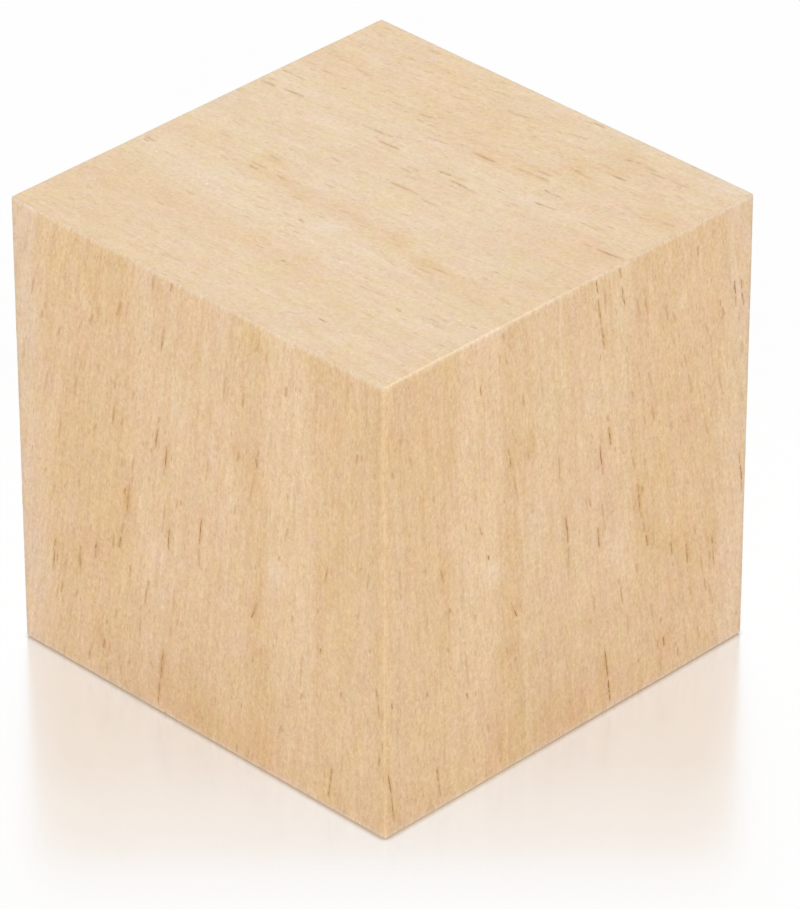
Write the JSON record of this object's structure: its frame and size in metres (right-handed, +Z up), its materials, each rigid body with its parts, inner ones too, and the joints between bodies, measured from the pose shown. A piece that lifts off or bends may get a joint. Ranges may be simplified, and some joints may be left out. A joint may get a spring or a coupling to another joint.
{
  "type": "wooden cube",
  "caption": "Solid wooden cube block with sanded faces and lightly eased edges, for crafts, models and bench use.",
  "frame": {"origin": "centre of the bottom face, on the surface that the cube stands on", "axes": "+Z up; X, Y and Z are square to the faces; -Y is the front face and +X the right-hand face, and the top's grain runs along X"},
  "size_m": [0.03, 0.03, 0.03],
  "materials": {
    "bare_wood": "sanded bare wood, unfinished, matt, pale straw-coloured with fine fibres and short brown vessel lines"
  },
  "bodies": {
    "root": {"cube": "bare_wood"}
  },
  "joints": []
}
